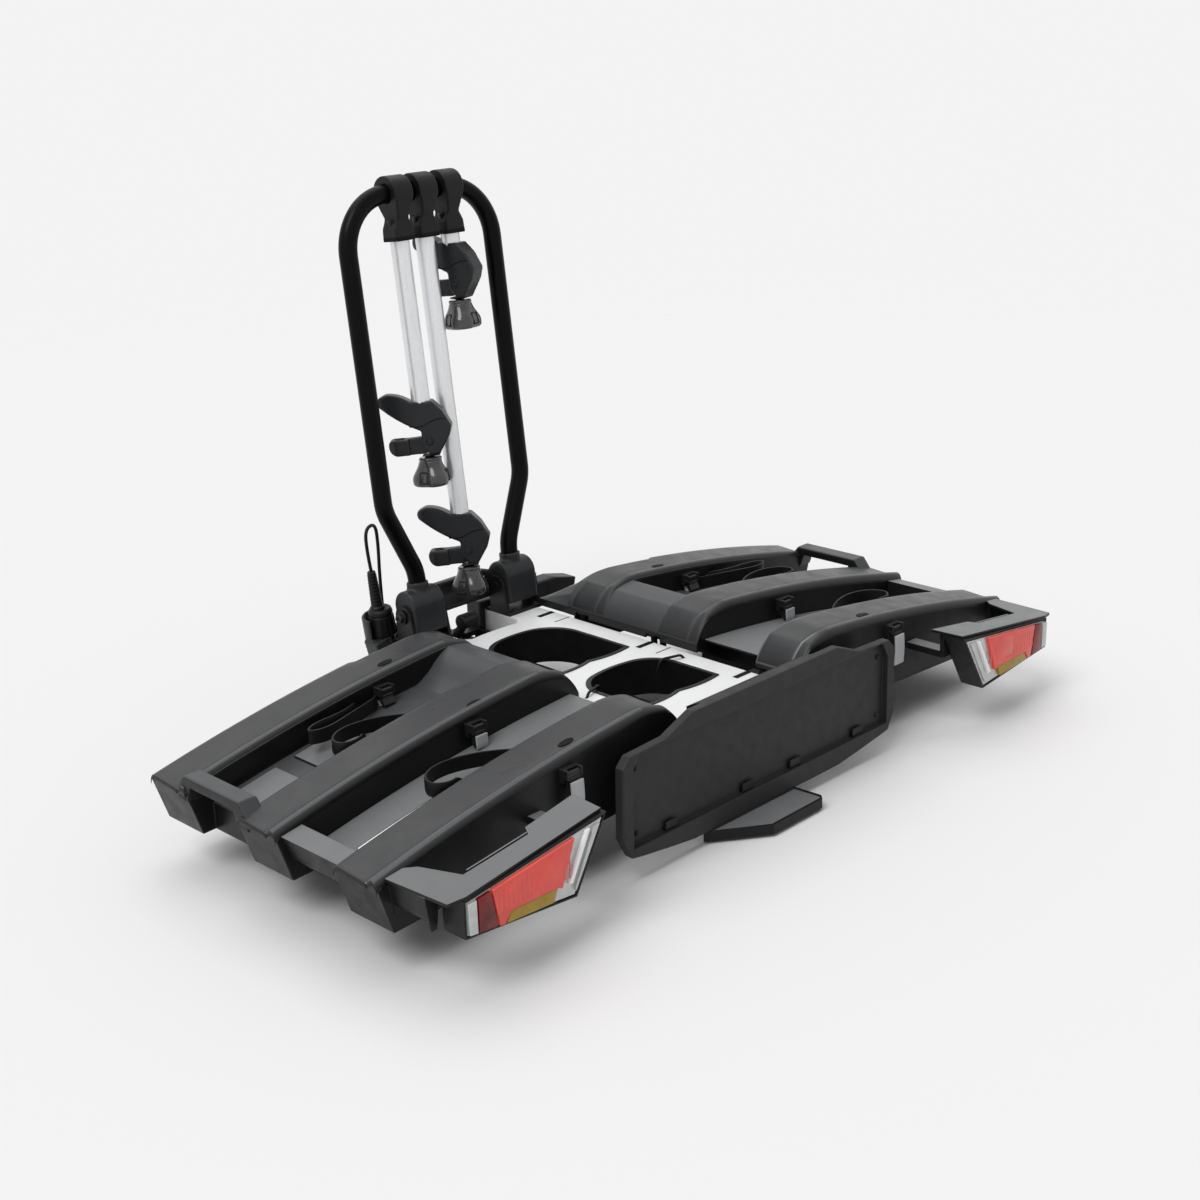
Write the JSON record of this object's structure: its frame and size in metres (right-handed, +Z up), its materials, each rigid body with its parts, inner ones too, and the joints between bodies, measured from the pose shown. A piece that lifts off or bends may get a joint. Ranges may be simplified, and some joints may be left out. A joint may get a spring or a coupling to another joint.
{
  "type": "hitch bike rack",
  "caption": "Folding tow ball bike carrier with two hinged wheel platforms, an upright hoop with frame clamp arms, rear lamps, number plate holder and tilt pedal.",
  "frame": {"origin": "centre of the bounding box's footprint, on the floor the carrier stands on", "axes": "+X across the car to the carrier's right seen from behind, +Y towards the car, +Z up"},
  "size_m": [1.258, 0.7793, 0.8147],
  "materials": {
    "silver_paint": "satin",
    "gloss_black_paint": "gloss",
    "black_steel": "satin",
    "grey_shell": "matte",
    "grey_tray": "matte",
    "cover_plastic": "matte",
    "black_plastic": "matte",
    "claw_plastic": "matte",
    "knob_plastic": "gloss",
    "arm_aluminium": "satin",
    "lamp_lens": "gloss",
    "strap_rubber": "matte",
    "buckle_plastic": "matte",
    "wheel_rubber": "matte",
    "cable_rubber": "matte",
    "tread_plastic": "matte"
  },
  "bodies": {
    "chassis": {"chassis_frame": "silver_paint", "chassis_liner": "black_plastic", "spine_beam": "black_steel", "rear_feet": "black_steel", "foot_pads": "wheel_rubber", "hinge_hardware": "black_steel", "hoop_brackets": "black_steel", "wheel_carrier": "black_steel", "car_side_cover": "cover_plastic", "trailer_plug": "black_plastic", "plug_cable": "cable_rubber", "plate_holder": "black_plastic", "plate_clips": "black_plastic", "plate_carrier": "black_plastic", "lamp_cable_left": "cable_rubber", "lamp_cable_right": "cable_rubber"},
    "wing_right": {"platform_shell_right": "grey_shell", "rear_tray_right": "grey_tray", "wing_frame_right": "black_steel", "lamp_housing_right": "black_plastic", "lamp_lens_right": "lamp_lens", "buckle_bases_right": "buckle_plastic", "wheel_straps_right": "strap_rubber"},
    "buckle_1_right": {"buckle_lever_1_right": "buckle_plastic"},
    "buckle_2_right": {"buckle_lever_2_right": "buckle_plastic"},
    "buckle_3_right": {"buckle_lever_3_right": "buckle_plastic"},
    "wing_left": {"platform_shell_left": "grey_shell", "rear_tray_left": "grey_tray", "wing_frame_left": "black_steel", "lamp_housing_left": "black_plastic", "lamp_lens_left": "lamp_lens", "buckle_bases_left": "buckle_plastic", "wheel_straps_left": "strap_rubber"},
    "buckle_1_left": {"buckle_lever_1_left": "buckle_plastic"},
    "buckle_2_left": {"buckle_lever_2_left": "buckle_plastic"},
    "buckle_3_left": {"buckle_lever_3_left": "buckle_plastic"},
    "hoop": {"hoop_tube": "gloss_black_paint", "hoop_base": "cover_plastic"},
    "arm_a": {"arm_head_a": "black_plastic", "arm_tube_a": "arm_aluminium"},
    "claw_a": {"claw_body_a": "claw_plastic"},
    "finger_a": {"claw_finger_a": "claw_plastic"},
    "knob_a": {"claw_knob_a": "knob_plastic"},
    "arm_b": {"arm_head_b": "black_plastic", "arm_tube_b": "arm_aluminium"},
    "claw_b": {"claw_body_b": "claw_plastic"},
    "finger_b": {"claw_finger_b": "claw_plastic"},
    "knob_b": {"claw_knob_b": "knob_plastic"},
    "arm_c": {"arm_head_c": "black_plastic", "arm_tube_c": "arm_aluminium"},
    "claw_c": {"claw_body_c": "claw_plastic"},
    "finger_c": {"claw_finger_c": "claw_plastic"},
    "knob_c": {"claw_knob_c": "knob_plastic"},
    "coupling": {"coupling_housing": "black_steel"},
    "jaw": {"clamp_jaw": "black_steel"},
    "lever": {"clamp_lever": "black_steel"},
    "pedal": {"foot_pedal": "tread_plastic", "pedal_rim": "black_plastic"},
    "wheel_body_right": {"wheel_right": "wheel_rubber"},
    "wheel_body_left": {"wheel_left": "wheel_rubber"}
  },
  "joints": [
    {"name": "wing_right_fold", "type": "hinge", "parent": "chassis", "child": "wing_right", "pos_m": [0.13, 0, 0.146], "axis": [0, -1, 0], "range_deg": [0, 90]},
    {"name": "buckle_1_right_hinge", "type": "hinge", "parent": "wing_right", "child": "buckle_1_right", "pos_m": [0.312, 0.093, 0.16762], "axis": [-1, 0, 0], "range_deg": [0, 60]},
    {"name": "buckle_2_right_hinge", "type": "hinge", "parent": "wing_right", "child": "buckle_2_right", "pos_m": [0.315, -0.097, 0.16725], "axis": [-1, 0, 0], "range_deg": [0, 60]},
    {"name": "buckle_3_right_hinge", "type": "hinge", "parent": "wing_right", "child": "buckle_3_right", "pos_m": [0.331, -0.287, 0.16523], "axis": [-1, 0, 0], "range_deg": [0, 60]},
    {"name": "wing_left_fold", "type": "hinge", "parent": "chassis", "child": "wing_left", "pos_m": [-0.13, 0, 0.146], "axis": [0, 1, 0], "range_deg": [0, 90]},
    {"name": "buckle_1_left_hinge", "type": "hinge", "parent": "wing_left", "child": "buckle_1_left", "pos_m": [-0.312, 0.093, 0.16762], "axis": [-1, 0, 0], "range_deg": [0, 60]},
    {"name": "buckle_2_left_hinge", "type": "hinge", "parent": "wing_left", "child": "buckle_2_left", "pos_m": [-0.315, -0.097, 0.16725], "axis": [-1, 0, 0], "range_deg": [0, 60]},
    {"name": "buckle_3_left_hinge", "type": "hinge", "parent": "wing_left", "child": "buckle_3_left", "pos_m": [-0.331, -0.287, 0.16523], "axis": [-1, 0, 0], "range_deg": [0, 60]},
    {"name": "hoop_fold", "type": "hinge", "parent": "chassis", "child": "hoop", "pos_m": [0, 0.27554, 0.18008], "axis": [-1, 0, 0], "range_deg": [-85, 0]},
    {"name": "arm_swing_a", "type": "hinge", "parent": "hoop", "child": "arm_a", "pos_m": [-0.042, 0.33961, 0.78972], "axis": [-1, 0, 0], "range_deg": [0, 100]},
    {"name": "claw_swivel_a", "type": "hinge", "parent": "arm_a", "child": "claw_a", "pos_m": [-0.042, 0.30752, 0.4844], "axis": [0, 0.1045, 0.9945], "range_deg": [-60, 0]},
    {"name": "finger_hinge_a", "type": "hinge", "parent": "claw_a", "child": "finger_a", "pos_m": [-0.03705, 0.29696, 0.43121], "axis": [0.7071, 0.7032, -0.0739], "range_deg": [0, 22]},
    {"name": "knob_turn_a", "type": "hinge", "parent": "claw_a", "child": "knob_a", "pos_m": [-0.03988, 0.29653, 0.40009], "axis": [0, 0.1045, 0.9945], "continuous": true},
    {"name": "arm_swing_b", "type": "hinge", "parent": "hoop", "child": "arm_b", "pos_m": [0.005, 0.33961, 0.78972], "axis": [-1, 0, 0], "range_deg": [0, 100]},
    {"name": "claw_swivel_b", "type": "hinge", "parent": "arm_b", "child": "claw_b", "pos_m": [0.005, 0.28871, 0.30539], "axis": [0, 0.1045, 0.9945], "range_deg": [-60, 0]},
    {"name": "finger_hinge_b", "type": "hinge", "parent": "claw_b", "child": "finger_b", "pos_m": [0.00995, 0.27814, 0.2522], "axis": [0.7071, 0.7032, -0.0739], "range_deg": [0, 22]},
    {"name": "knob_turn_b", "type": "hinge", "parent": "claw_b", "child": "knob_b", "pos_m": [0.00712, 0.27771, 0.22107], "axis": [0, 0.1045, 0.9945], "continuous": true},
    {"name": "arm_swing_c", "type": "hinge", "parent": "hoop", "child": "arm_c", "pos_m": [0.054, 0.33961, 0.78972], "axis": [-1, 0, 0], "range_deg": [0, 100]},
    {"name": "claw_swivel_c", "type": "hinge", "parent": "arm_c", "child": "claw_c", "pos_m": [0.054, 0.33052, 0.7032], "axis": [0, 0.1045, 0.9945], "range_deg": [-60, 0]},
    {"name": "finger_hinge_c", "type": "hinge", "parent": "claw_c", "child": "finger_c", "pos_m": [0.05616, 0.31825, 0.65019], "axis": [0.9511, 0.3073, -0.0323], "range_deg": [0, 22]},
    {"name": "knob_turn_c", "type": "hinge", "parent": "claw_c", "child": "knob_c", "pos_m": [0.05493, 0.3188, 0.61896], "axis": [0, 0.1045, 0.9945], "continuous": true},
    {"name": "coupling_tilt", "type": "hinge", "parent": "chassis", "child": "coupling", "pos_m": [0, 0.3, 0.084], "axis": [-1, 0, 0], "range_deg": [0, 40]},
    {"name": "lever_hinge", "type": "hinge", "parent": "coupling", "child": "lever", "pos_m": [0, 0.318, 0.096], "axis": [1, 0, 0], "range_deg": [0, 35]},
    {"name": "jaw_slide", "type": "slide", "parent": "coupling", "child": "jaw", "axis": [0, -1, 0], "range_m": [0, 0.003]},
    {"name": "pedal_hinge", "type": "hinge", "parent": "chassis", "child": "pedal", "pos_m": [0, -0.196, 0.066], "axis": [1, 0, 0], "range_deg": [0, 10], "stiffness_Nm_per_rad": 4, "springref_deg": -28.65},
    {"name": "wheel_turn_right", "type": "hinge", "parent": "chassis", "child": "wheel_body_right", "pos_m": [0.128, 0.318, 0.03], "axis": [1, 0, 0], "continuous": true},
    {"name": "wheel_turn_left", "type": "hinge", "parent": "chassis", "child": "wheel_body_left", "pos_m": [-0.128, 0.318, 0.03], "axis": [1, 0, 0], "continuous": true}
  ],
  "couplings": [
    {"joint": "jaw_slide", "follows": "lever_hinge", "m_per_rad": 0.0049}
  ]
}
